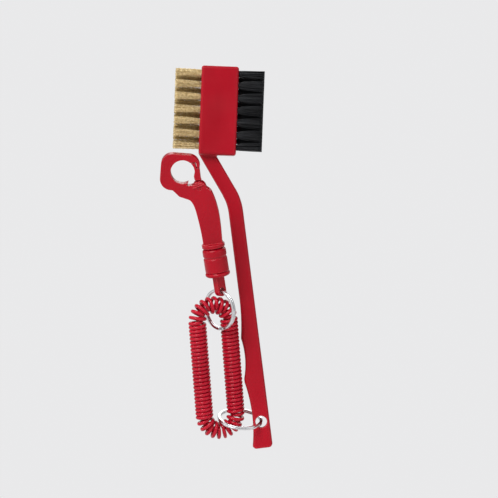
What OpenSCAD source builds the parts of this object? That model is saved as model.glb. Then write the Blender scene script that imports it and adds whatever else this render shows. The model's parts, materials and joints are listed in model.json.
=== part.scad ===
// Club groove brush: a moulded handle with a brass and a nylon brush face,
// and a coiled leash that ends in a swivelling plastic snap hook.
//
// Units are millimetres. The origin is the centre of the lanyard hole in the
// handle. +Z runs up the head, +X from the brass face to the nylon face, and
// -Y is the front.

/* [Head] */
// Distance between the two brush faces
head_w = 19.9; // [14:0.1:30]
// Length of the head
head_h = 47.2; // [30:0.1:80]
// Depth of the head, front to back
head_d = 16; // [12:0.1:24]
// Rounding of the head's edges
head_r = 1.5; // [0.5:0.1:3]
// Middle of the head, sideways from the lanyard hole
head_x = -28.75; // [-60:0.05:0]
// Middle of the head, above the lanyard hole
head_z = 163.6; // [100:0.1:220]

/* [Bristles] */
// Tufts in each outer row
row_count = 7; // [3:1:12]
// Spacing of the tufts along a row
tuft_pitch = 6.52; // [4:0.01:10]
// Spacing of the rows, front to back
row_gap = 5.2; // [3.5:0.1:8]
// Middle of the tuft rows, above the middle of the head
tuft_shift = 0.4; // [-2:0.1:2]
// Radius of a tuft
tuft_r = 1.45; // [0.8:0.01:2.5]
// Radius of a tuft's hole
tuft_hole_r = 1.5; // [0.8:0.01:2.6]
// Depth of a tuft's hole
tuft_depth = 6; // [3:0.1:9]
// Length of brass that stands out of the head
brass_len = 13.8; // [6:0.1:25]
// Length of nylon that stands out of the head
nylon_len = 13.6; // [6:0.1:25]
// Thickness of the anchor wire
anchor_t = 0.4; // [0.2:0.05:1]
// Height of the anchor wire, along the tuft
anchor_h = 1.6; // [0.8:0.1:3]
// Width of an anchor, which bites into both sides of the hole
anchor_w = 3.5; // [2:0.1:6]

/* [Handle] */
// Thickness of the handle, front to back
handle_t = 7; // [4:0.1:14]
// Rounding of the handle's long edges
handle_r = 1.6; // [0.5:0.1:3]
// Width of the neck and upper grip
neck_w = 7.9; // [5:0.1:14]
// Back edge of the grip, from the lanyard hole
grip_back = 4.55; // [3:0.05:9]
// Crest of the finger swells, from the lanyard hole
grip_front = 6.2; // [3:0.1:12]
// Heights of the finger hollows, from the lanyard hole up the grip
finger_z = [4.6, 36.3, 66]; // [-20:0.1:100]
// Radii of the finger hollows
finger_r = [80, 43.4, 118]; // [20:0.1:200]
// Deepest place of each finger hollow, from the lanyard hole
finger_x = [4.35, 4.3, 3.35]; // [2:0.05:8]
// Lean of the grip from the head's length
grip_lean = 9.4; // [0:0.1:25]
// Lean of the neck from the head's length
neck_lean = 32.4; // [10:0.1:50]
// Radius of the bend between neck and grip
bend_r = 28; // [12:1:60]
// Height of the corner where neck and grip lines meet, up the grip
bend_g = 117.5; // [80:0.5:150]
// Length of handle below the lanyard hole
tail_len = 14; // [8:0.5:30]
// Radius of the corners at the handle's end
tail_r = 2.2; // [0.5:0.1:4]
// Radius of the lanyard hole
lanyard_r = 3; // [1.5:0.1:4]

/* [Rings] */
// Middle radius of the ring at the handle
ring_r = 11.25; // [6:0.05:20]
// Middle radius of the ring at the clip
clip_ring_r = 10.3; // [6:0.05:20]
// Radial width of the ring wire
wire_w = 1.45; // [0.8:0.05:3]
// Thickness of one turn of the ring wire
wire_t = 0.93; // [0.5:0.01:2]
// Gap between the two turns of a ring
turn_gap = 0.04; // [0.01:0.01:0.2]
// Tilt of the handle ring, front edge down
ring_tilt = 22; // [0:1:35]
// Rise of the handle ring away from the handle
ring_rise = 4.4; // [-20:0.1:20]
// Turn of the clip ring about the leash
clip_ring_turn = 44; // [0:1:80]
// Height of the clip ring's centre up the leash
clip_ring_w = 58.7; // [40:0.1:120]
// Sideways place of the clip ring's centre
clip_ring_x = -1.7; // [-10:0.1:10]
// Place of the clip ring's centre, front to back
clip_ring_y = -1.2; // [-5:0.1:5]

/* [Coil cord] */
// Forward lean of the leash
leash_lean = 13; // [0:0.5:25]
// Radius of the coil, to the middle of the cord
coil_r = 3.8; // [2:0.1:8]
// Radius of the cord itself
cord_r = 0.96; // [0.5:0.01:2]
// Turns in each straight side of the loop
side_turns = 25; // [8:1:60]
// Turns in each end bend of the loop
bend_turns = 11; // [3:1:11]
// How far every second turn steps out of the inside of a bend
bend_step = 1.8; // [0:0.1:2.5]
// Radius of the end bends, to the middle of the coil
loop_r = 8.6; // [6:0.05:16]
// Distance between the centres of the two end bends
loop_len = 51.2; // [30:0.1:120]
// Sideways lean of the loop
loop_lean = 6.3; // [-20:0.1:20]
// Turn of the loop about the leash
loop_yaw = 16; // [-45:1:45]
// Lower bend's centre, sideways along the leash plane
loop_x = 0.6; // [-5:0.1:5]
// Lower bend's centre, up the leash plane
loop_w = 1.2; // [-5:0.1:5]
// Flats on one turn of the cord
turn_sides = 12; // [8:1:16]
// Flats round the cord
cord_sides = 6; // [5:1:8]

/* [Swivel] */
// Sideways lean of the clip
clip_lean = 10.8; // [-30:0.1:30]
// Outside radius of the swivel barrel
barrel_r = 6.3; // [4:0.1:10]
// Radius of the rim under the barrel
rim_r = 6.6; // [4:0.1:10]
// Height of the rim's lower face above the eye
rim_b = 8.1; // [4:0.1:10]
// Thickness of the rim
rim_t = 2.6; // [1:0.1:5]
// Length of the barrel
barrel_len = 12.9; // [10:0.1:25]
// Radius of the barrel's hollow
hollow_r = 5; // [3:0.1:8]
// Radius of the hook's stem
stem_r = 3; // [1.5:0.05:5]
// Running clearance round the stem
stem_gap = 0.05; // [0.01:0.01:0.2]
// Radius of the head on the stem
stem_head_r = 4.5; // [2:0.1:7]
// Radius of the hole in the eye
eye_r = 1.75; // [1:0.05:4]
// Width of the eye
eye_w = 6; // [4:0.1:10]
// Thickness of the eye
eye_t = 3.2; // [2:0.1:6]

/* [Hook] */
// Thickness of the hook, front to back
hook_t = 6; // [3:0.1:10]
// Radius of the round opening
throat_r = 6.2; // [3:0.1:12]
// Width of the loop of the hook
loop_w_out = 20.4; // [12:0.1:40]
// Height of the loop of the hook
loop_h_out = 19.4; // [12:0.1:40]
// Rounding of the loop's outer corners
loop_corner = 6; // [2:0.1:10]
// Turn of the loop against the clip's length
loop_turn = 13; // [-45:1:45]
// Radius of the gate's hub
hub_r = 3.3; // [2:0.1:6]
// Radius of the gate pin
pin_r = 0.9; // [0.5:0.05:2]
// Thickness of each ear beside the gate
ear_t = 1.3; // [0.8:0.1:2]

/* [Hidden] */
$fn = 64;
EPS = 0.01;
// Middle of the tuft rows and the two brush faces
tuft_z = head_z + tuft_shift;
face_l = head_x - head_w / 2;
face_r = head_x + head_w / 2;
grip_mid = grip_back - neck_w / 2;
neck_turn = neck_lean - grip_lean;
bend_run = bend_r * tan(neck_turn / 2);
// The straight neck runs up into the head; it is a hair smaller than the bend
neck_len = 34;
neck_step = 0.08;
// Room between the bottom of a tuft's hole and its anchor
anchor_rise = 0.3;
// Far side of the handle ring, where the coil hangs on it
far_x = -2 * ring_r * cos(ring_rise);
far_z = 2 * ring_r * sin(ring_rise);
// Middle of the throat, the gate's pivot and the loop, in the clip's frame
throat = [-9.7, 66.3];
pivot = [-2.4, 56.4];
loop_mid = [-11.2, 66.2];
barrel_b = rim_b + rim_t;
collar_b = barrel_b + barrel_len + 0.2;
slot_half = hook_t / 2 - ear_t;
ear_r = hub_r + 0.4;
// The shoulder of the hook, and how much slimmer it is than the barrel
shoulder_h = 2;
shoulder_step = 0.2;
// The bar's sides from the shoulder up to the gate and to the loop
bar_foot = collar_b + shoulder_h / 2;
bar_right = [[5, bar_foot], [5.6, 34], [5.7, 41], [5.3, 46], [4.4, 51], [3.2, 54.5], [1, 56.5]];
bar_left = [[-8.2, 50.8], [-7, 48.5], [-6.2, 45], [-5.5, 38], [-5.1, 31], [-5.1, bar_foot]];
// Fillets of the hook's outline
hook_ease = 1.2;
// The barrel's rounded shoulder, the groove round it and its wall over the stem's head
barrel_round = 2;
groove_r = 0.9;
groove_out = 0.5;
groove_down = 5;
cap_t = 3.5;
// The thumb ridges on the ears
ridge_r = 0.35;
ridge_step = 0.95;
ridge_inset = 0.15;
// The plug that closes the barrel's foot, and the split head of the stem
plug_h = 3;
plug_gap = 0.01;
stem_head_h = 4.2;
stem_head_gap = 0.1;
stem_foot = 0.4;
stem_split = 1;

// ---- frames ----

// The grip's own frame: Z up the grip, X towards its back edge
module in_grip() { rotate([0, -grip_lean, 0]) children(); }

// The leash's own frame: Z up the leash, from the far side of the handle ring
module in_leash() { translate([far_x, 0, far_z]) rotate([leash_lean, 0, 0]) children(); }

// The clip's own frame: Z up the clip, from the eye on the clip ring
module in_clip()
    in_leash() translate([clip_ring_x, clip_ring_y, clip_ring_w + clip_ring_r])
        rotate([0, -clip_lean, 0]) children();

// A 2D shape drawn in X and Z, made t thick about the plane y = 0
module plate(t) rotate([90, 0, 0]) linear_extrude(t, center = true) children();

// A rectangle with rounded corners, centred
module round_rect(w, h, r) {
    square([w - 2 * r, h], center = true);
    square([w, h - 2 * r], center = true);
    for (x = [-1, 1], y = [-1, 1])
        translate([x * (w / 2 - r), y * (h / 2 - r)]) circle(r);
}

// ---- tufts ----

// Places one row: side is -1 for the brass face and 1 for the nylon face
module on_row(side, row) {
    count = row == 0 ? row_count - 1 : row_count;
    for (i = [0:count - 1])
        translate([side < 0 ? face_l : face_r, row * row_gap,
                   tuft_z + (i - (count - 1) / 2) * tuft_pitch])
            rotate([0, side * 90, 0]) children();
}

module anchor_shape()
    translate([0, 0, anchor_h / 2 + anchor_rise - tuft_depth])
        cube([anchor_t, anchor_w, anchor_h], center = true);

module tuft(len) difference() {
    translate([0, 0, anchor_rise + EPS - tuft_depth])
        cylinder(h = tuft_depth - anchor_rise + len, r = tuft_r);
    anchor_shape();
}

module brass_row(row) color("DarkGoldenrod") on_row(-1, row) tuft(brass_len);
module nylon_row(row) color("DimGray") on_row(1, row) tuft(nylon_len);
module brass_anchor_row(row) color("Silver") on_row(-1, row) anchor_shape();
module nylon_anchor_row(row) color("Silver") on_row(1, row) anchor_shape();

// ---- handle ----

// The handle's cross-section, w wide, all of it shrunk by step
module bar_section(w, step = 0) round_rect(w - 2 * step, handle_t - 2 * step, handle_r - step);

// What a finger hollow takes away: everything inside radius r, and the
// rounding of the two edges it leaves
module finger_cut(r, deepest, height) translate([-deepest - r, 0, height]) rotate([90, 0, 0])
    rotate_extrude($fn = 200) difference() {
        translate([r - neck_w, -handle_t]) square([neck_w + handle_r, 2 * handle_t]);
        translate([r, handle_r - handle_t / 2]) square([neck_w, handle_t - 2 * handle_r]);
        for (s = [-1, 1])
            translate([r + handle_r, s * (handle_t / 2 - handle_r)]) circle(handle_r);
    }

module grip() difference() {
    intersection() {
        union() {
            // The wide part that the finger hollows are cut from
            translate([(grip_back - grip_front) / 2, 0, -tail_len])
                linear_extrude(tail_len + finger_z[2]) bar_section(grip_front + grip_back);
            translate([grip_mid, 0, 0])
                linear_extrude(bend_g - bend_run) bar_section(neck_w);
        }
        // The end of the handle, rounded both ways
        translate([(grip_back - grip_front) / 2, 0, bend_g - tail_len])
            plate(2 * handle_t) round_rect(grip_front + grip_back, 2 * bend_g, tail_r);
    }
    for (i = [0:2]) finger_cut(finger_r[i], finger_x[i], finger_z[i]);
}

module neck() {
    translate([grip_mid, 0, bend_g - bend_run]) translate([-bend_r, 0, 0]) {
        rotate([90, 0, 0]) rotate_extrude(angle = neck_turn, $fn = 200)
            translate([bend_r, 0]) bar_section(neck_w);
        rotate([0, -neck_turn, 0]) translate([bend_r, 0, -1])
            linear_extrude(neck_len) bar_section(neck_w, neck_step);
    }
}

module head() translate([head_x, 0, head_z]) intersection() {
    plate(head_d) round_rect(head_w, head_h, head_r);
    rotate([0, 0, 90]) plate(head_w) round_rect(head_d, head_h, head_r);
    linear_extrude(head_h, center = true) round_rect(head_w, head_d, head_r);
}

module handle_body() color("Crimson") difference() {
    union() {
        head();
        in_grip() grip();
        intersection() {
            in_grip() neck();
            translate([face_l, -head_d, 0])
                cube([-2 * face_l, 2 * head_d, head_z - head_h / 2 + head_r]);
        }
    }
    rotate([90, 0, 0]) cylinder(h = 2 * handle_t, r = lanyard_r, center = true);
    for (side = [-1, 1], row = [-1:1]) on_row(side, row) {
        translate([0, 0, -tuft_depth]) cylinder(h = tuft_depth + 1, r = tuft_hole_r);
        anchor_shape();
    }
}

// ---- rings ----

// Rounding of the ring wire, the angle left open at each wire's end, and the
// angle and step of the crossing
wire_round = 0.25;
end_gap = 12;
cross_span = 10;
cross_step = 0.12;

// One flat-wire turn, from angle a to angle b
module ring_turn(r, a, b) rotate([0, 0, a]) rotate_extrude(angle = b - a, $fn = 120)
    translate([r, 0]) round_rect(wire_w, wire_t, wire_round);

// A split ring: two flat turns, joined by a slightly slimmer crossing where
// the wire steps from one turn to the other
module split_ring(r, split) rotate([0, 0, split]) {
    lift = (wire_t + turn_gap) / 2;
    translate([0, 0, lift]) ring_turn(r, 0, 360 - end_gap);
    translate([0, 0, -lift]) ring_turn(r, end_gap - 360, 0);
    rotate([0, 0, -cross_span / 2]) rotate_extrude(angle = cross_span, $fn = 120)
        translate([r, 0])
            round_rect(wire_w - cross_step, 2 * wire_t + turn_gap - cross_step, wire_round);
}

module lanyard_ring() color("Silver")
    translate([-ring_r * cos(ring_rise), 0, ring_r * sin(ring_rise)])
        rotate([0, ring_rise, 0]) rotate([ring_tilt, 0, 0]) split_ring(ring_r, 70);

module clip_ring() color("Silver") in_leash()
    translate([clip_ring_x, clip_ring_y, clip_ring_w])
        rotate([0, 0, -clip_ring_turn]) rotate([90, 0, 0]) split_ring(clip_ring_r, -160);

// ---- coil cord ----

turns = 2 * (side_turns + bend_turns);

// Where the middle of the coil is after t turns, and which way is out of the
// loop there: up the right side, round the top, down the left, round the foot
function loop_point(t) =
    let (s = side_turns, e = bend_turns)
    t < s ? [loop_r, loop_len * t / s, 0] :
    t < s + e ? let (a = 180 * (t - s) / e) [loop_r * cos(a), loop_len + loop_r * sin(a), a] :
    t < 2 * s + e ? [-loop_r, loop_len * (2 * s + e - t) / s, 180] :
    let (a = 180 + 180 * (t - 2 * s - e) / e) [loop_r * cos(a), loop_r * sin(a), a];

// 1 within the bends and 0 on the straight sides, changing over one turn
function bend_depth(t) =
    let (half = side_turns + bend_turns, u = t - half * floor(t / half) - side_turns)
    max(0, min(1, u + 0.5, bend_turns - u + 0.5));

// How far the turn is pinched there: every second turn is smaller and set
// towards the outside of the bend, so that the turns have room on the inside
function pinch(t) = bend_step / 2 * bend_depth(t) * (1 - cos(180 * (t - 0.5))) / 2;

// A point on the cord: t turns along, and angle q round the cord
function cord_point(t, q) =
    let (p = loop_point(t), turn = 360 * t, reach = coil_r - pinch(t) + cord_r * cos(q),
         out = reach * cos(turn) + pinch(t), along = cord_r * sin(q))
    [p[0] + out * cos(p[2]) - along * sin(p[2]), reach * sin(turn),
     p[1] + out * sin(p[2]) + along * cos(p[2])];

// Faces of a closed tube of n rings with m points each
function loop_faces(n, m) = [
    for (i = [0:n - 1], j = [0:m - 1])
        let (i2 = (i + 1) % n, j2 = (j + 1) % m)
        each [[i * m + j, i2 * m + j2, i2 * m + j], [i * m + j, i * m + j2, i2 * m + j2]]
];

module coil_cord() color("Crimson") in_leash() translate([loop_x, 0, loop_w])
    rotate([0, -loop_lean, 0]) rotate([0, 0, loop_yaw]) {
        rings = turns * turn_sides;
        polyhedron(
            points = [
                for (i = [0:rings - 1], j = [0:cord_sides - 1])
                    cord_point(i / turn_sides, 360 * j / cord_sides)
            ],
            faces = loop_faces(rings, cord_sides));
    }

// ---- swivel ----

module swivel_eye() color("Crimson") in_clip() {
    rotate([0, 0, -clip_ring_turn]) difference() {
        union() {
            rotate([0, 90, 0]) cylinder(h = eye_t, r = eye_w / 2, center = true);
            translate([-eye_t / 2, -eye_w / 2, 0]) cube([eye_t, eye_w, rim_b + EPS]);
        }
        rotate([0, 90, 0]) cylinder(h = 2 * eye_t, r = eye_r, center = true);
    }
    // The rim below the barrel and the plug that closes the barrel
    translate([0, 0, rim_b]) rotate_extrude() {
        square([rim_r - rim_t / 2, rim_t]);
        translate([rim_r - rim_t / 2, rim_t / 2]) intersection() {
            circle(rim_t / 2);
            translate([0, -rim_t]) square(2 * rim_t);
        }
    }
    translate([0, 0, barrel_b - EPS]) cylinder(h = plug_h, r = hollow_r - plug_gap);
}

module swivel_barrel() color("Crimson") in_clip() translate([0, 0, barrel_b])
    rotate_extrude() difference() {
        union() {
            square([barrel_r, barrel_len - barrel_round]);
            square([barrel_r - barrel_round, barrel_len]);
            translate([barrel_r - barrel_round, barrel_len - barrel_round]) circle(barrel_round);
        }
        translate([-EPS, -EPS]) square([hollow_r, barrel_len - cap_t]);
        translate([-EPS, 0]) square([stem_r + stem_gap, barrel_len + 1]);
        // A shallow groove round the barrel
        translate([barrel_r + groove_out, barrel_len - groove_down]) circle(groove_r);
    }

// ---- hook ----

// The place t of the way from b to c on a smooth line through a, b, c and d
function between(a, b, c, d, t) =
    (2 * b + (c - a) * t + (2 * a - 5 * b + 4 * c - d) * t * t
     + (3 * b - a - 3 * c + d) * t * t * t) / 2;

// A smooth line through a list of places, five steps from each to the next
function smooth_line(p) = let (last = len(p) - 1) concat(
    [for (i = [0:last - 1], k = [0:4])
        between(p[max(0, i - 1)], p[i], p[i + 1], p[min(last, i + 2)], k / 5)],
    [p[last]]);

// A 2D shape with its inside corners filled and its outside corners rounded
module eased(r) offset(r) offset(-2 * r) offset(r) children();

// The outline of the hook before the throat and gate are cut from it
module hook_outline() eased(hook_ease) {
    // The bar, which widens towards the loop, and the web below the loop
    polygon(concat(smooth_line(bar_right), [[-9, 60], [-13, 58], [-16.2, 57.2], [-13.5, 53.6]],
                   smooth_line(bar_left)));
    translate(pivot) circle(ear_r);
    // The loop
    translate(loop_mid) rotate(-loop_turn) round_rect(loop_w_out, loop_h_out, loop_corner);
}

// Where the gate goes: the space beside the throat, below the nose, and the
// sector that the foot of its arm sweeps as it opens
module gate_gap() difference() {
    union() {
        polygon([[-6.7, 61], [pivot[0], 59.2], [4, 59.2], [4, 67.4],
                 [-2.1, 67.4], [-2.1, 70.4], [-6, 70.4], [-6, 64]]);
        intersection() {
            translate(pivot) circle(6.5);
            translate([-9, 58.6]) square([12, 6]);
        }
    }
    translate(pivot) circle(hub_r + 0.45);
}

// Half the length of a thumb ridge, which stops short of the ear's edge
function ridge_reach(up) = sqrt(pow(ear_r, 2) - pow(ridge_r + up * ridge_step, 2)) - ridge_inset;

module hook_body() color("Crimson") in_clip() {
    head_b = barrel_b + barrel_len - cap_t - stem_head_gap - stem_head_h;
    difference() {
        union() {
            plate(hook_t) difference() {
                hook_outline();
                translate(throat) circle(throat_r);
                gate_gap();
            }
            // The shoulder that sits on the barrel
            translate([0, 0, collar_b]) cylinder(h = shoulder_h, r = barrel_r - shoulder_step);
        }
        // The slot that the gate's hub and its spring sit in
        plate(2 * slot_half) {
            translate(pivot) circle(hub_r + 0.2);
            translate([pivot[0], pivot[1]]) rotate(-14) square([20, 20]);
            translate([pivot[0] - hub_r - 0.2, pivot[1]]) square([2 * hub_r, 9]);
        }
        translate([pivot[0], 0, pivot[1]]) rotate([90, 0, 0])
            cylinder(h = 2 * hook_t, r = pin_r, center = true);
    }
    // Thumb ridges across both ears, above the pin
    for (side = [-1, 1], up = [1:3])
        translate([pivot[0], side * hook_t / 2, pivot[1]]) rotate([0, -loop_turn, 0])
            translate([0, 0, ridge_r + up * ridge_step]) rotate([0, 90, 0])
                cylinder(h = 2 * ridge_reach(up), r = ridge_r, center = true);
    // The stem, with a split head that snaps into the barrel
    difference() {
        union() {
            translate([0, 0, head_b - stem_foot])
                cylinder(h = collar_b - head_b + stem_foot + EPS, r = stem_r);
            translate([0, 0, head_b]) cylinder(h = stem_head_h, r = stem_head_r);
        }
        translate([0, 0, head_b + stem_head_h / 2])
            cube([stem_split, 2 * barrel_r, 2 * stem_head_h], center = true);
    }
}

module gate() color("Crimson") in_clip() difference() {
    union() {
        // The hub, between the ears
        intersection() {
            plate(hook_t) union() {
                translate(pivot) circle(hub_r);
                translate([pivot[0] - 1.6, pivot[1]]) square([3.4, 5]);
            }
            translate([-20, -slot_half + 0.1, 0]) cube([40, slot_half, 80]);
        }
        // The arm that closes the throat
        plate(hook_t - 0.2) difference() {
            polygon([[-4.2, 61], [-0.9, 60.6], [-0.7, 67.1], [-2.4, 67.1], [-2.4, 70.1],
                     [-4.9, 70.1], [-4.6, 66]]);
            translate(throat) circle(throat_r);
            translate(pivot) circle(hub_r + 0.7);
        }
    }
    translate([pivot[0], 0, pivot[1]]) rotate([90, 0, 0])
        cylinder(h = 2 * hook_t, r = pin_r + 0.04, center = true);
    // The groove that the spring's leg pushes in
    translate([-8, 0.1, pivot[1] + 3.4]) cube([8 + pivot[0] - spring_r + 0.23, 0.42, 2.8]);
}

module gate_pin() color("Crimson") in_clip() translate([pivot[0], 0, pivot[1]])
    rotate([90, 0, 0]) cylinder(h = hook_t - 0.2, r = pin_r, center = true);

// ---- gate spring ----

spring_r = 1.35;
spring_wire = 0.19;
spring_turns = 3;
spring_from = 0.31;
spring_pitch = 0.39;
spring_steps = 12;

// One closed tube along a line of points, its section lying across Y for the
// turns and across X for the two legs
function tube_ring(p, u, v, r) = [for (q = [0:60:300]) p + r * cos(q) * u + r * sin(q) * v];

function spring_turn(t) = let (a = 180 + 360 * t)
    tube_ring([spring_r * cos(a), spring_from + spring_pitch * t, spring_r * sin(a)],
              [cos(a), 0, sin(a)], [0, 1, 0], spring_wire);

// Faces of an open tube of n rings with m points each, with both ends closed
function tube_faces(n, m) = concat(
    [for (i = [0:n - 2], j = [0:m - 1]) let (j2 = (j + 1) % m)
        each [[i * m + j, (i + 1) * m + j, (i + 1) * m + j2],
              [i * m + j, (i + 1) * m + j2, i * m + j2]]],
    [[for (j = [0:m - 1]) j], [for (j = [m - 1:-1:0]) (n - 1) * m + j]]);

module gate_spring() color("Silver") in_clip() translate([pivot[0], 0, pivot[1]]) {
    last = spring_from + spring_pitch * spring_turns;
    rings = concat(
        [tube_ring([-spring_r, spring_from, 6], [-1, 0, 0], [0, 1, 0], spring_wire)],
        [for (i = [0:spring_steps * spring_turns]) spring_turn(i / spring_steps)],
        [tube_ring([-spring_r, last, -2.9], [-1, 0, 0], [0, 1, 0], spring_wire)]);
    polyhedron(points = [for (r = rings) each r], faces = tube_faces(len(rings), 6));
}

handle_body();
brass_row(-1);  // brass_tufts_front
brass_row(0);  // brass_tufts_middle
brass_row(1);  // brass_tufts_back
nylon_row(-1);  // nylon_tufts_front
nylon_row(0);  // nylon_tufts_middle
nylon_row(1);  // nylon_tufts_back
brass_anchor_row(-1);  // brass_anchors_front
brass_anchor_row(0);  // brass_anchors_middle
brass_anchor_row(1);  // brass_anchors_back
nylon_anchor_row(-1);  // nylon_anchors_front
nylon_anchor_row(0);  // nylon_anchors_middle
nylon_anchor_row(1);  // nylon_anchors_back
lanyard_ring();
coil_cord();
clip_ring();
swivel_eye();
swivel_barrel();
hook_body();
gate();
gate_pin();
gate_spring();
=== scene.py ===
"""Looks for the club groove brush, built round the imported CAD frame.

The six rows of anchor wires are kept as the CAD has them. The bristles, split rings, coil cord and
thumb ridges are drawn here in finer detail. The handle, the gate pin and the moulded pieces of the clip
are even, soft-edged copies of their CAD nodes, and the gate spring is a copy that bends with the gate.
Lengths are in metres in the CAD's frame: +Z up, with the centre of the lanyard hole as the origin.
"""

import json
import math
import random

import bpy
import numpy as np
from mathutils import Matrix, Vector


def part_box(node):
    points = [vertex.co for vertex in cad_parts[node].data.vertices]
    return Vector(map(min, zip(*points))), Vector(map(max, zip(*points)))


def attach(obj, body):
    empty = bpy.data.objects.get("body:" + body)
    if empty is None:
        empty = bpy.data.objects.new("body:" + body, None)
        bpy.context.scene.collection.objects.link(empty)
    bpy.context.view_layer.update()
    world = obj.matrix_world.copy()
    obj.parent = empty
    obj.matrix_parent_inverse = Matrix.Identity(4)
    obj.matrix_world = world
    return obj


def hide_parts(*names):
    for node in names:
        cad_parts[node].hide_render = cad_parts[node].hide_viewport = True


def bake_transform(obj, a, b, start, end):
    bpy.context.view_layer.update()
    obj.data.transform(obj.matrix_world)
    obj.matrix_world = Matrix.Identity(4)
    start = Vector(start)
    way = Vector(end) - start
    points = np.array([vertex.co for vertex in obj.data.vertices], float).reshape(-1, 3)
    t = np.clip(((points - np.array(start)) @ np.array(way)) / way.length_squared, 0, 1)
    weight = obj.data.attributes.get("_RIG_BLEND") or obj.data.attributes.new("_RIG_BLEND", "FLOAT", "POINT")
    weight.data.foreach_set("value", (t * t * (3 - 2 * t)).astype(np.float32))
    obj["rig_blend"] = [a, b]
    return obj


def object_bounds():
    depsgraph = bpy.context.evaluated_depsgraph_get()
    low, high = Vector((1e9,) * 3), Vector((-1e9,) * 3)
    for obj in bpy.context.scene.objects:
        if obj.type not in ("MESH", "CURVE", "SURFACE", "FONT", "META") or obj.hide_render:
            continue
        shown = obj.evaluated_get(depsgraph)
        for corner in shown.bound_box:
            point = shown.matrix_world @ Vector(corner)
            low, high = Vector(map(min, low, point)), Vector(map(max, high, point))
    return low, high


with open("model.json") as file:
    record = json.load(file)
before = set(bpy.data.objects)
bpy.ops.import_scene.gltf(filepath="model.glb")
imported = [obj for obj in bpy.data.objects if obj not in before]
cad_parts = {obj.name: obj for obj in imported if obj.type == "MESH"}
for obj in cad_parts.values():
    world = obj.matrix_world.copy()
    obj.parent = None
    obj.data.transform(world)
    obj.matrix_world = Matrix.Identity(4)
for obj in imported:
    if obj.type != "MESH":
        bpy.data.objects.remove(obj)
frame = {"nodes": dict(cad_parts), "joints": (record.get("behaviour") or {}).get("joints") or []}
cad_box = [list(corner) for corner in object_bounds()]

MM = 0.001
TAU = 2 * math.pi
JOINTS = {joint["name"]: joint for joint in frame["joints"]}


# ---------------------------------------------------------------- small helpers


def unit(v):
    v = np.array(v, float)
    return v / np.linalg.norm(v)


def vertices_of(node):
    """The CAD node's vertices, as an array in metres."""
    mesh = frame["nodes"][node].data
    co = np.zeros(len(mesh.vertices) * 3)
    mesh.vertices.foreach_get("co", co)
    return co.reshape(-1, 3)


def add_object(name, data):
    """A new object in the scene, which sits at the origin."""
    thing = bpy.data.objects.new(name, data)
    bpy.context.scene.collection.objects.link(thing)
    return thing


def mesh_piece(name, points, faces, material):
    """A smooth piece from points in metres and faces."""
    mesh = bpy.data.meshes.new(name)
    mesh.from_pydata([tuple(p) for p in points], [], faces)
    mesh.validate()
    mesh.update()
    mesh.shade_smooth()
    mesh.materials.append(material)
    piece = add_object(name, mesh)
    return piece


def copied_piece(node, ending, material):
    """A piece that stands for a CAD node, with a copy of its mesh."""
    mesh = frame["nodes"][node].data.copy()
    mesh.name = node + ending
    mesh.materials.clear()
    mesh.materials.append(material)
    piece = add_object(node + ending, mesh)
    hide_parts(node)
    return piece


def tube_rings(path, section, sides_x, sides_y):
    """One ring of points at each path point: section is a list of (x, y) in the local directions."""
    section = np.array(section)
    return (
        path[:, None, :]
        + section[None, :, 0:1] * sides_x[:, None, :]
        + section[None, :, 1:2] * sides_y[:, None, :]
    )


def tube_faces(rings, around, closed=False, base=0):
    """Quads between rings of points, with capped ends on an open tube."""
    faces = []
    last = rings if closed else rings - 1
    for i in range(last):
        here, there = base + i * around, base + ((i + 1) % rings) * around
        for j in range(around):
            k = (j + 1) % around
            faces.append((here + j, here + k, there + k, there + j))
    if not closed:
        faces.append(tuple(base + j for j in reversed(range(around))))
        faces.append(tuple(base + (rings - 1) * around + j for j in range(around)))
    return faces


def circle_section(radius, sides):
    return [
        (radius * math.cos(TAU * j / sides), radius * math.sin(TAU * j / sides))
        for j in range(sides)
    ]


# ---------------------------------------------------------------- materials

EDGE_HIGHLIGHT_GAIN = 1.3  # painted highlight: an edge is drawn this much brighter than the plastic
EDGE_HIGHLIGHT_LIFT = 0.04  # and paler by this much
ROUGH_PATCH = 0.16  # how much rougher the dullest patches of plastic are
SCUFF_DEPTH = 0.02 * MM
FINE_DEPTH = 0.01 * MM  # depth of the marks on wire and filament
TARNISH = (0.42, 0.29, 0.12)
NYLON_DARK = (0.003, 0.003, 0.004)
NYLON_PALE = (0.016, 0.017, 0.02)


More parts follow.
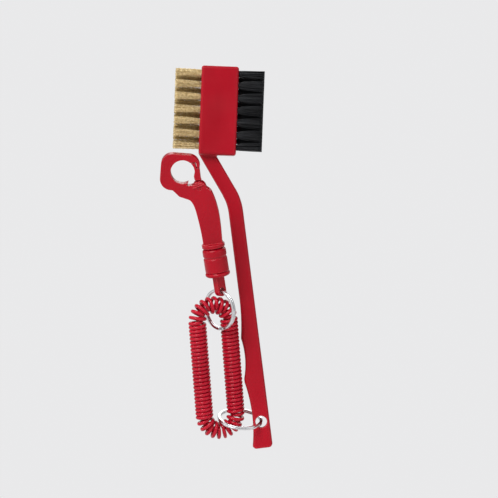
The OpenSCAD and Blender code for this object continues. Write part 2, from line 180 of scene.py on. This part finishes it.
class Nodes:
    """Builds one procedural material, a node at a time."""

    def __init__(self, name):
        self.material = bpy.data.materials.new(name)
        self.material.use_nodes = True
        self.tree = self.material.node_tree
        self.shader = self.tree.nodes["Principled BSDF"]
        self.place = self.add("ShaderNodeTexCoord").outputs["Object"]

    def add(self, kind, **settings):
        node = self.tree.nodes.new(kind)
        for key, value in settings.items():
            if key in node.inputs:
                node.inputs[key].default_value = value
            else:
                setattr(node, key, value)
        return node

    def link(self, source, target):
        self.tree.links.new(source, target)

    def noise(self, scale, detail=4.0, stretch=None):
        """Noise with features about 1/scale metres wide, stretched along an axis if asked."""
        node = self.add("ShaderNodeTexNoise", Scale=scale, Detail=detail)
        place = self.place
        if stretch:
            mapping = self.add("ShaderNodeMapping")
            mapping.inputs["Scale"].default_value = stretch
            self.link(place, mapping.inputs["Vector"])
            place = mapping.outputs["Vector"]
        self.link(place, node.inputs["Vector"])
        return node.outputs["Fac"]

    def ramp(self, source, low, high, start=0.35, end=0.65):
        """A value or colour that goes from low to high as source goes from start to end."""
        node = self.add("ShaderNodeValToRGB")
        node.color_ramp.elements[0].position = start
        node.color_ramp.elements[1].position = end
        for element, value in zip(node.color_ramp.elements, (low, high)):
            element.color = (value, value, value, 1) if isinstance(value, float) else (*value, 1)
        self.link(source, node.inputs["Fac"])
        return node.outputs["Color"]

    def mix(self, factor, first, second):
        """The first colour where factor is 0 and the second where it is 1; each is a node or a tuple."""
        node = self.add("ShaderNodeMix", data_type="RGBA")
        self.link(factor, node.inputs[0])
        for source, socket in ((first, node.inputs[6]), (second, node.inputs[7])):
            if hasattr(source, "links"):
                self.link(source, socket)
            else:
                socket.default_value = (*source, 1)
        return node.outputs[2]

    def edges(self, radius):
        """1 within about radius metres of an edge and 0 elsewhere."""
        eased = self.add("ShaderNodeBevel", samples=4, Radius=radius)
        facing = self.add("ShaderNodeNewGeometry")
        match = self.add("ShaderNodeVectorMath", operation="DOT_PRODUCT")
        self.link(eased.outputs["Normal"], match.inputs[0])
        self.link(facing.outputs["Normal"], match.inputs[1])
        return self.ramp(match.outputs["Value"], 1.0, 0.0, start=0.93, end=0.995)

    def bump(self, source, distance, strength, under=None):
        """A normal that lifts the surface by up to distance metres, on top of another normal if given."""
        node = self.add("ShaderNodeBump", Distance=distance, Strength=strength)
        self.link(source, node.inputs["Height"])
        if under is not None:
            self.link(under, node.inputs["Normal"])
        return node.outputs["Normal"]

    def colour(self, source):
        self.link(source, self.shader.inputs["Base Color"])

    def roughness(self, source):
        self.link(source, self.shader.inputs["Roughness"])

    def normal(self, source):
        self.link(source, self.shader.inputs["Normal"])

    def tune(self, **settings):
        """Sets the shader's own inputs, named with _ for a space."""
        for key, value in settings.items():
            self.shader.inputs[key.replace("_", " ")].default_value = value


def red_plastic(name, base, deep, gloss, grain, coat, edge):
    """Moulded red plastic: faint flow marks, a fine moulded grain, hairline scuffs, and a painted highlight
    that makes edges paler.

    gloss is the lowest roughness, grain the depth of the moulded grain, edge the width of the painted edge
    highlight.
    """
    n = Nodes(name)
    flow = n.ramp(n.noise(38, 5, stretch=(1, 1, 0.35)), deep, base, start=0.3, end=0.62)
    # painted highlight: the edge colour is the plastic made brighter and paler, and edges, concave ones too,
    # are mixed towards it
    pale = tuple(c * EDGE_HIGHLIGHT_GAIN + EDGE_HIGHLIGHT_LIFT for c in base)
    n.colour(n.mix(n.edges(edge), flow, pale))
    n.roughness(n.ramp(n.noise(90, 6), gloss, gloss + ROUGH_PATCH, end=0.7))
    skin = n.bump(n.noise(2600, 3), grain, strength=0.5)
    scuffs = n.ramp(n.noise(900, 2, stretch=(1, 1, 0.06)), 0.0, 1.0, start=0.62, end=0.72)
    n.normal(n.bump(scuffs, SCUFF_DEPTH, strength=0.25, under=skin))
    n.tune(
        Specular_IOR_Level=0.16,
        Subsurface_Weight=0.06,
        Subsurface_Radius=(1.2 * MM, 0.2 * MM, 0.2 * MM),
        Coat_Weight=coat,
        Coat_Roughness=0.15,
    )
    return n.material


def steel(name, base, dull, low, high, lines):
    """Bare or plated steel: its tone varies, and its roughness runs from low to high in fine lines."""
    n = Nodes(name)
    n.colour(n.ramp(n.noise(260, 5), dull, base, start=0.32, end=0.6))
    n.roughness(n.ramp(n.noise(lines), low, high, start=0.3, end=0.7))
    n.normal(n.bump(n.noise(2 * lines, 3), FINE_DEPTH, strength=0.4))
    n.tune(Metallic=1.0)
    return n.material


def bristle_brass(name, dark, bright, tarnish):
    """Fine brass wire: its tone varies along each wire, with darker tarnish in patches."""
    n = Nodes(name)
    tone = n.ramp(n.noise(900), dark, bright, start=0.3, end=0.62)
    patch = n.ramp(n.noise(160, 3), 0.0, tarnish, start=0.45, end=0.7)
    n.colour(n.mix(patch, tone, TARNISH))
    n.roughness(n.ramp(n.noise(1500, 3), 0.3, 0.52))
    n.normal(n.bump(n.noise(6000, 2), FINE_DEPTH, strength=0.3))
    n.tune(Metallic=0.7)
    return n.material


def bristle_nylon():
    """Black nylon filament: near-black, slightly blue, with a soft streaky sheen along its length."""
    n = Nodes("nylon_filament")
    n.colour(n.ramp(n.noise(420, stretch=(0.12, 1, 1)), NYLON_DARK, NYLON_PALE))
    n.roughness(n.ramp(n.noise(1200, 3, stretch=(0.1, 1, 1)), 0.38, 0.6))
    n.normal(n.bump(n.noise(5000, 2, stretch=(0.2, 1, 1)), FINE_DEPTH, strength=0.3))
    n.tune(Specular_IOR_Level=0.25)
    return n.material


handle_plastic = red_plastic(
    "handle_plastic", base=(0.37, 0.002, 0.012), deep=(0.29, 0.0015, 0.009),
    gloss=0.3, grain=0.03 * MM, coat=0.04, edge=0.9 * MM,
)
clip_plastic = red_plastic(
    "clip_plastic", base=(0.4, 0.0015, 0.012), deep=(0.3, 0.001, 0.009),
    gloss=0.2, grain=0.02 * MM, coat=0.08, edge=0.5 * MM,
)
cord_plastic = red_plastic(
    "cord_plastic", base=(0.5, 0.006, 0.024), deep=(0.35, 0.004, 0.016),
    gloss=0.22, grain=0.02 * MM, coat=0.12, edge=0.3 * MM,
)
brass_outer = bristle_brass("brass_wire", (0.62, 0.45, 0.2), (0.95, 0.8, 0.48), tarnish=0.4)
# painted shade: the middle row lies behind the front row, in its shade, so its brass is drawn darker and
# with a larger share of dark tarnish patches
brass_shaded_middle = bristle_brass("brass_wire_painted_shade", (0.34, 0.23, 0.09), (0.6, 0.45, 0.2), tarnish=0.6)
nylon_filament = bristle_nylon()
ring_steel = steel("ring_steel", (0.78, 0.78, 0.8), (0.55, 0.55, 0.57), 0.12, 0.3, lines=700)
anchor_steel = steel("anchor_steel", (0.6, 0.6, 0.6), (0.4, 0.4, 0.41), 0.25, 0.45, lines=1200)
spring_steel = steel("spring_steel", (0.5, 0.5, 0.52), (0.3, 0.3, 0.31), 0.2, 0.4, lines=2500)


def paint(node, material):
    """Gives a kept CAD node its material."""
    materials = frame["nodes"][node].data.materials
    materials.clear()
    materials.append(material)


# ---------------------------------------------------------------- bristles

TUFTS = {"front": 7, "middle": 6, "back": 7}  # tufts in each row
TUFT_BURIED = 5.69 * MM  # length of each CAD tuft inside its hole
ROOT_DEPTH = 2.5 * MM  # how far the drawn bristles go into the hole
GOLDEN_ANGLE = 2.39996  # in radians; it spreads the bristles evenly over their tuft
ANGLE_JITTER = 0.2
OWN_BEND = 0.5  # how far a bristle strays, as a share of how far its tuft does
WAVE_RISE = 4  # the crimp is full a quarter of the way up
BRASS_SEED = 11
NYLON_SEED = 21

BRASS = {
    "count": 46,  # bristles in a tuft
    "radius": 0.125 * MM,
    "sides": 4,
    "steps": 22,
    "wave": 0.13 * MM,  # depth of the crimp
    "wave_length": 2.6 * MM,
    "splay": 0.5,  # how far the tuft fans out
    "splay_power": 0.5,  # a lower power parts the bristles nearer their roots
    "bend": 0.35 * MM,  # how far a tuft and its bristles stray
    "ragged": 0.42 * MM,  # how uneven the tips are
    "trim": 0.5,  # share of the fan past the ends of the row that is held back
}
NYLON = {
    "count": 110,
    "radius": 0.135 * MM,
    "sides": 5,
    "steps": 7,
    "wave": 0.03 * MM,
    "wave_length": 9 * MM,
    "splay": 1.3,
    "splay_power": 0.42,
    "bend": 0.12 * MM,
    "ragged": 0.06 * MM,
    "trim": 0.95,
}


def bristle(root, out, length, lean, style, rng):
    """One bristle as rings of points: root point, outward direction, and lean of its tip."""
    steps = style["steps"]
    phase = rng.uniform(0, TAU)
    side = rng.uniform(0, TAU)
    wave_y = style["wave"] * math.cos(side)
    wave_z = style["wave"] * math.sin(side)
    travel = (length + ROOT_DEPTH) * np.linspace(0, 1, steps + 1)
    above = np.clip((travel - ROOT_DEPTH) / length, 0, 1)
    spread = above ** style["splay_power"]
    wave = np.sin(TAU * travel / style["wave_length"] + phase) * np.minimum(1, above * WAVE_RISE)
    path = np.zeros((steps + 1, 3))
    path[:, 0] = root[0] + out * (travel - ROOT_DEPTH)
    path[:, 1] = root[1] + spread * lean[0] + wave * wave_y
    path[:, 2] = root[2] + spread * lean[1] + wave * wave_z
    across_y = np.tile([0.0, 1.0, 0.0], (steps + 1, 1))
    across_z = np.tile([0.0, 0.0, 1.0], (steps + 1, 1))
    return tube_rings(path, circle_section(style["radius"], style["sides"]), across_y, across_z)


def tuft(middle, tuft_r, out, length, z_low, z_high, style, rng):
    """The bristles of one tuft, whose axis leaves the head at middle, one after another."""
    bend_y = rng.gauss(0, style["bend"])
    bend_z = rng.gauss(0, style["bend"])
    for i in range(style["count"]):
        reach = math.sqrt((i + 0.5) / style["count"]) * (tuft_r - style["radius"])
        angle = i * GOLDEN_ANGLE + rng.uniform(-ANGLE_JITTER, ANGLE_JITTER)
        y, z = reach * math.cos(angle), reach * math.sin(angle)
        root = (middle[0], middle[1] + y, middle[2] + z)
        lean_y = y * style["splay"] + bend_y + rng.gauss(0, style["bend"] * OWN_BEND)
        lean_z = z * style["splay"] + bend_z + rng.gauss(0, style["bend"] * OWN_BEND)
        tip_z = root[2] + lean_z
        spill = min(0.0, tip_z - z_low) + max(0.0, tip_z - z_high)
        lean = (lean_y, lean_z - spill * style["trim"])
        own_length = length - abs(rng.gauss(0, style["ragged"]))
        yield bristle(root, out, own_length, lean, style, rng)


def tuft_row(node, tufts, out, style, material, seed):
    """All the bristles of one CAD row of tufts, as one mesh; out is 1 towards +X and -1 towards -X."""
    rng = random.Random(seed)
    low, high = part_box(node)
    tuft_r = (high.y - low.y) / 2
    middle_y = (high.y + low.y) / 2
    pitch = (high.z - low.z - 2 * tuft_r) / (tufts - 1)
    face = low.x + TUFT_BURIED if out > 0 else high.x - TUFT_BURIED
    length = high.x - face if out > 0 else face - low.x
    points, faces = [], []
    for number in range(tufts):
        middle = (face, middle_y, low.z + tuft_r + number * pitch)
        for rings in tuft(middle, tuft_r, out, length, low.z, high.z, style, rng):
            faces += tube_faces(len(rings), style["sides"], base=len(points))
            points.extend(rings.reshape(-1, 3))
    row = mesh_piece("bristles_" + node, points, faces, material)
    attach(row, "brush")
    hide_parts(node)


for row, (place, tufts) in enumerate(TUFTS.items()):
    # painted shade: the middle row gets the darker brass
    brass = brass_shaded_middle if place == "middle" else brass_outer
    tuft_row(f"brass_tufts_{place}", tufts, -1, BRASS, brass, BRASS_SEED + row)
    tuft_row(f"nylon_tufts_{place}", tufts, 1, NYLON, nylon_filament, NYLON_SEED + row)
    paint(f"brass_anchors_{place}", anchor_steel)
    paint(f"nylon_anchors_{place}", anchor_steel)


# ---------------------------------------------------------------- split rings

WIRE_W = 1.45 * MM
WIRE_T = 0.93 * MM
WIRE_ROUND = 0.28 * MM
TURN_GAP = 0.04 * MM  # between the two turns
END_GAP = math.radians(12)  # angle left open at each end of the wire
CROSS_HALF = math.radians(14)  # half the angle over which the wire changes turn
CROSS_TOWARDS = np.array((0.3, 0.1, -1.0))  # the side of the ring where it changes turn
RING_STEPS = 260
CORNER_STEPS = 4


def wire_section():
    """A rounded rectangle, as (across, through) pairs."""
    section = []
    for corner, (sx, sy) in enumerate(((1, 1), (-1, 1), (-1, -1), (1, -1))):
        for k in range(CORNER_STEPS):
            a = math.radians(90 * (corner + k / (CORNER_STEPS - 1)))
            section.append((
                sx * (WIRE_W / 2 - WIRE_ROUND) + WIRE_ROUND * math.cos(a),
                sy * (WIRE_T / 2 - WIRE_ROUND) + WIRE_ROUND * math.sin(a),
            ))
    return section


def ring_shape(node):
    """Centre, normal and middle radius of a CAD split ring."""
    co = vertices_of(node)
    centre = (co.min(0) + co.max(0)) / 2
    normal = np.linalg.svd(co - co.mean(0), full_matrices=False)[2][2]
    reach = np.linalg.norm(co - centre, axis=1).max()
    radius = math.sqrt(reach**2 - (WIRE_T + TURN_GAP / 2) ** 2) - WIRE_W / 2
    return centre, normal, radius


def split_ring(node, body):
    """Two turns of flat wire, stepping from one turn to the other."""
    centre, normal, radius = ring_shape(node)
    u = unit(CROSS_TOWARDS - np.dot(CROSS_TOWARDS, normal) * normal)
    v = np.cross(normal, u)
    lift = (WIRE_T + TURN_GAP) / 2
    path, out = [], []
    for i in range(RING_STEPS + 1):
        a = END_GAP - TAU + (2 * TAU - 2 * END_GAP) * i / RING_STEPS
        across = min(1.0, max(-1.0, a / CROSS_HALF))
        radial = u * math.cos(a) + v * math.sin(a)
        path.append(centre + radius * radial + lift * math.sin(across * math.pi / 2) * normal)
        out.append(radial)
    through = np.tile(normal, (len(path), 1))
    rings = tube_rings(np.array(path), wire_section(), np.array(out), through)
    faces = tube_faces(len(rings), rings.shape[1])
    ring = mesh_piece(node + "_wire", rings.reshape(-1, 3), faces, ring_steel)
    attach(ring, body)
    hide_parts(node)


split_ring("lanyard_ring", "handle_ring")
split_ring("clip_ring", "end_ring")


# ---------------------------------------------------------------- coil cord

COIL_R = 3.8 * MM
CORD_R = 0.96 * MM
SIDE_TURNS = 25
BEND_TURNS = 11
HALF_TURN = 0.5
BEND_STEP = 1.8 * MM  # how far every second turn steps out of the inside of a bend
LOOP_R = 8.6 * MM
LOOP_LEN = 51.2 * MM
LOOP_YAW = math.radians(16)
TURN_STEPS = 44
CORD_SIDES = 14


def loop_place(t):
    """Where the coil's centre line is after t turns, and the angle that points out of the loop."""
    s, e = SIDE_TURNS, BEND_TURNS
    if t < s:
        return LOOP_R, LOOP_LEN * t / s, 0.0
    if t < s + e:
        a = math.pi * (t - s) / e
        return LOOP_R * math.cos(a), LOOP_LEN + LOOP_R * math.sin(a), a
    if t < 2 * s + e:
        return -LOOP_R, LOOP_LEN * (2 * s + e - t) / s, math.pi
    a = math.pi + math.pi * (t - 2 * s - e) / e
    return LOOP_R * math.cos(a), LOOP_R * math.sin(a), a


def pinch(t):
    """How much smaller the coil is at t turns: every second turn makes room inside a bend."""
    into = t % (SIDE_TURNS + BEND_TURNS) - SIDE_TURNS
    depth = max(0.0, min(1.0, into + HALF_TURN, BEND_TURNS - into + HALF_TURN))
    return BEND_STEP / 2 * depth * (1 - math.cos(math.pi * (t - HALF_TURN))) / 2


def loop_frame():
    """The loop's right, back and up directions, and the foot of its middle line."""
    up = unit(JOINTS["cord_stretch"]["axis"])
    back = -unit(JOINTS["gate_open"]["axis"])
    right = unit(np.cross(back, up))
    right = right * math.cos(LOOP_YAW) + back * math.sin(LOOP_YAW)
    back = np.cross(up, right)
    co = vertices_of("coil_cord")
    centre = sum(axis * ((co @ axis).min() + (co @ axis).max()) / 2 for axis in (right, back, up))
    return right, back, up, centre - up * LOOP_LEN / 2


def section_of_cord(t):
    """The cord's round section after t turns, as (right, back, up) distances."""
    x, z, a = loop_place(t)
    turn = TAU * t
    for outward, forward in circle_section(CORD_R, CORD_SIDES):
        reach = COIL_R - pinch(t) + outward
        out = reach * math.cos(turn) + pinch(t)
        yield (
            x + out * math.cos(a) - forward * math.sin(a),
            reach * math.sin(turn),
            z + out * math.sin(a) + forward * math.cos(a),
        )


def open_turns(cord):
    """Moves each section of the blended cord as one, so that a stretch opens the turns, not the cord."""
    share = cord.data.attributes["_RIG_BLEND"].data
    values = np.zeros(len(share), np.float32)
    share.foreach_get("value", values)
    values = values.reshape(-1, CORD_SIDES).mean(axis=1)
    share.foreach_set("value", np.repeat(values, CORD_SIDES).astype(np.float32))


def coil_cord():
    """The closed loop of coiled cord, which stretches between its two rings."""
    right, back, up, foot = loop_frame()
    steps = 2 * (SIDE_TURNS + BEND_TURNS) * TURN_STEPS
    points = [
        foot + right * x + back * y + up * z
        for i in range(steps)
        for x, y, z in section_of_cord(i / TURN_STEPS)
    ]
    faces = tube_faces(steps, CORD_SIDES, closed=True)
    cord = mesh_piece("coil_cord_loop", points, faces, cord_plastic)
    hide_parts("coil_cord")
    inner = LOOP_R - COIL_R
    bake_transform(cord, "cord", "end_ring", start=foot - up * inner, end=foot + up * (LOOP_LEN + inner))
    open_turns(cord)


coil_cord()


# ---------------------------------------------------------------- moulded parts

CLIP_PARTS = {
    "hook_body": "hook",
    "gate_pin": "hook",
    "gate": "gate",
    "swivel_eye": "swivel",
    "swivel_barrel": "swivel",
}
CLIP_VOXEL = 0.18 * MM
CLIP_ROUNDS = 8
HANDLE_VOXEL = 0.32 * MM
HANDLE_ROUNDS = 5
MOULD_INSET = 0.06 * MM  # keeps the stem, which has little room in its bore, clear of the barrel


def moulded_copy(node, body, material, voxel, rounds):
    """A copy of a CAD node as an even fine mesh whose edges are rounded, as a moulding's are."""
    piece = copied_piece(node, "_moulded", material)
    remesh = piece.modifiers.new("Even mesh", "REMESH")
    remesh.mode = "VOXEL"
    remesh.voxel_size = voxel
    remesh.use_smooth_shade = True
    smooth = piece.modifiers.new("Rounded edges", "SMOOTH")
    smooth.factor = 0.5
    smooth.iterations = rounds
    inset = piece.modifiers.new("Running clearance", "DISPLACE")
    inset.strength = -MOULD_INSET
    inset.mid_level = 0.0
    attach(piece, body)


for node, body in CLIP_PARTS.items():
    moulded_copy(node, body, clip_plastic, CLIP_VOXEL, CLIP_ROUNDS)
moulded_copy("handle_body", "brush", handle_plastic, HANDLE_VOXEL, HANDLE_ROUNDS)


# ---------------------------------------------------------------- thumb ridges

HOOK_HALF = 3.0 * MM  # half the hook's thickness
EAR_R = 3.7 * MM
RIDGE_R = 0.42 * MM
RIDGE_ROWS = 3
RIDGE_FIRST = 1.3 * MM  # from the pin to the lowest ridge
RIDGE_PITCH = 0.95 * MM
RIDGE_TURN = math.radians(13)
RIDGE_STEPS = 24
RIDGE_SIDES = 12
RIDGE_TIP = 0.02  # keeps the last section of a ridge from closing to a point


def ridge_points(middle, along, across, back, reach):
    """The sections of one ridge, a half-buried bar with round ends that is 2 * reach long."""
    for i in range(RIDGE_STEPS + 1):
        t = 2 * i / RIDGE_STEPS - 1
        into_end = max(0.0, reach * abs(t) - (reach - RIDGE_R)) / RIDGE_R
        radius = RIDGE_R * math.sqrt(max(RIDGE_TIP, 1 - into_end**2))
        for x, y in circle_section(radius, RIDGE_SIDES):
            yield middle + along * reach * t + across * x + back * y


def thumb_ridges():
    """Three ridges across each ear of the hook, above the pin."""
    back = -unit(JOINTS["gate_open"]["axis"])
    up = unit(JOINTS["hook_swivel"]["axis"])
    right = np.cross(back, up)
    along = right * math.cos(RIDGE_TURN) + up * math.sin(RIDGE_TURN)
    across = np.cross(along, back)
    pin = np.array(JOINTS["gate_open"]["pos_m"])
    points, faces = [], []
    for side in (-1, 1):
        for row in range(RIDGE_ROWS):
            height = RIDGE_FIRST + row * RIDGE_PITCH
            reach = math.sqrt(EAR_R**2 - height**2) - RIDGE_R / 2
            middle = pin + across * height + back * side * HOOK_HALF
            faces += tube_faces(RIDGE_STEPS + 1, RIDGE_SIDES, base=len(points))
            points.extend(ridge_points(middle, along, across, back, reach))
    ridges = mesh_piece("thumb_ridges", points, faces, clip_plastic)
    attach(ridges, "hook")


thumb_ridges()


# ---------------------------------------------------------------- gate spring

SPRING_R = 1.35 * MM


def gate_spring():
    """The torsion spring: its foot stays in the hook and its leg follows the gate."""
    spring = copied_piece("gate_spring", "_wire", spring_steel)
    spring.data.shade_smooth()
    pin = Vector(JOINTS["gate_open"]["pos_m"])
    up = Vector(JOINTS["hook_swivel"]["axis"])
    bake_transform(spring, "hook", "gate", start=tuple(pin - up * SPRING_R), end=tuple(pin + up * SPRING_R))


gate_spring()


# ---------------------------------------------------------------- stage, light and camera

FLOOR_Z = -0.3
FLOOR_HALF = 60.0
FLOOR_DARK = (0.74, 0.74, 0.735)
FLOOR_PALE = (0.78, 0.78, 0.775)
FADE_FROM = 0.8  # distance from the origin at which the floor starts to fade into the backdrop
FADE_TO = 3.5
BACKDROP = (0.95, 0.95, 0.96)
BACKDROP_LIGHT = 0.86
OBJECT_LIGHT = 0.3  # light from all round that falls on the object
IMAGE_WIDTH = 498
PIXEL = 0.53 * MM  # what one pixel of the image spans at the object
CAMERA_DISTANCE = 2.0
CAMERA_FAR = 100
CAMERA_ROLL = math.radians(-2.2)
SENSOR = 36.0
AIM_RIGHT = 15.744 * MM  # from the middle of the CAD box to the middle of the picture
AIM_UP = 4.747 * MM


def floor():
    """A pale floor that fades into the backdrop far from the object."""
    n = Nodes("pale_floor")
    n.colour(n.ramp(n.noise(3), FLOOR_DARK, FLOOR_PALE))
    n.roughness(n.ramp(n.noise(40, 3), 0.6, 0.75))
    n.normal(n.bump(n.noise(600, 3), 0.1 * MM, strength=0.15))
    n.tune(Specular_IOR_Level=0.1)
    far = n.add("ShaderNodeVectorMath", operation="LENGTH")
    n.link(n.place, far.inputs[0])
    fade = n.add("ShaderNodeMapRange", interpolation_type="SMOOTHSTEP")
    fade.inputs["From Min"].default_value = FADE_FROM
    fade.inputs["From Max"].default_value = FADE_TO
    n.link(far.outputs["Value"], fade.inputs["Value"])
    glow = n.add("ShaderNodeEmission", Color=(*BACKDROP, 1), Strength=BACKDROP_LIGHT)
    blend = n.add("ShaderNodeMixShader")
    n.link(fade.outputs["Result"], blend.inputs[0])
    n.link(n.shader.outputs[0], blend.inputs[1])
    n.link(glow.outputs[0], blend.inputs[2])
    n.link(blend.outputs[0], n.tree.nodes["Material Output"].inputs["Surface"])
    mesh = bpy.data.meshes.new("floor")
    sides = ((-1, -1), (1, -1), (1, 1), (-1, 1))
    mesh.from_pydata([(x * FLOOR_HALF, y * FLOOR_HALF, FLOOR_Z) for x, y in sides], [], [(0, 1, 2, 3)])
    mesh.materials.append(n.material)
    add_object("floor", mesh)


def sun(name, direction, strength, spread):
    """Soft light that arrives along a direction, from a patch of sky spread degrees wide."""
    data = bpy.data.lights.new(name, "SUN")
    data.energy = strength
    data.angle = math.radians(spread)
    add_object(name, data).rotation_euler = Vector(direction).to_track_quat("-Z", "Y").to_euler()


def world_light(shown, lit):
    """A pale backdrop for the camera, and dimmer light from all round for the object."""
    world = bpy.data.worlds.new("studio")
    world.use_nodes = True
    tree = world.node_tree
    background = tree.nodes["Background"]
    background.inputs["Color"].default_value = (*BACKDROP, 1)
    seen = tree.nodes.new("ShaderNodeLightPath")
    strength = tree.nodes.new("ShaderNodeMapRange")
    strength.inputs["To Min"].default_value = lit
    strength.inputs["To Max"].default_value = shown
    tree.links.new(seen.outputs["Is Camera Ray"], strength.inputs["Value"])
    tree.links.new(strength.outputs["Result"], background.inputs["Strength"])
    bpy.context.scene.world = world


def camera():
    """Looks level along +Y at the brush's flat side, rolled a little."""
    data = bpy.data.cameras.new("camera")
    data.sensor_width = SENSOR
    data.lens = SENSOR * CAMERA_DISTANCE / (IMAGE_WIDTH * PIXEL)
    data.clip_end = CAMERA_FAR
    low, high = (Vector(corner) for corner in cad_box)
    middle = (low + high) / 2
    thing = add_object("camera", data)
    thing.location = (middle.x + AIM_RIGHT, -CAMERA_DISTANCE, middle.z + AIM_UP)
    thing.rotation_euler = (math.radians(90), CAMERA_ROLL, 0)
    bpy.context.scene.camera = thing


floor()
world_light(shown=BACKDROP_LIGHT, lit=OBJECT_LIGHT)
sun("key", (0.55, 0.9, -0.75), strength=2.6, spread=35)
sun("fill", (-0.8, 0.8, -0.25), strength=0.7, spread=60)
sun("back", (-0.2, -0.9, -0.8), strength=1.2, spread=50)
sun("rim", (0.95, 0.25, -0.35), strength=0.5, spread=25)
camera()
bpy.context.scene.view_settings.view_transform = "Standard"
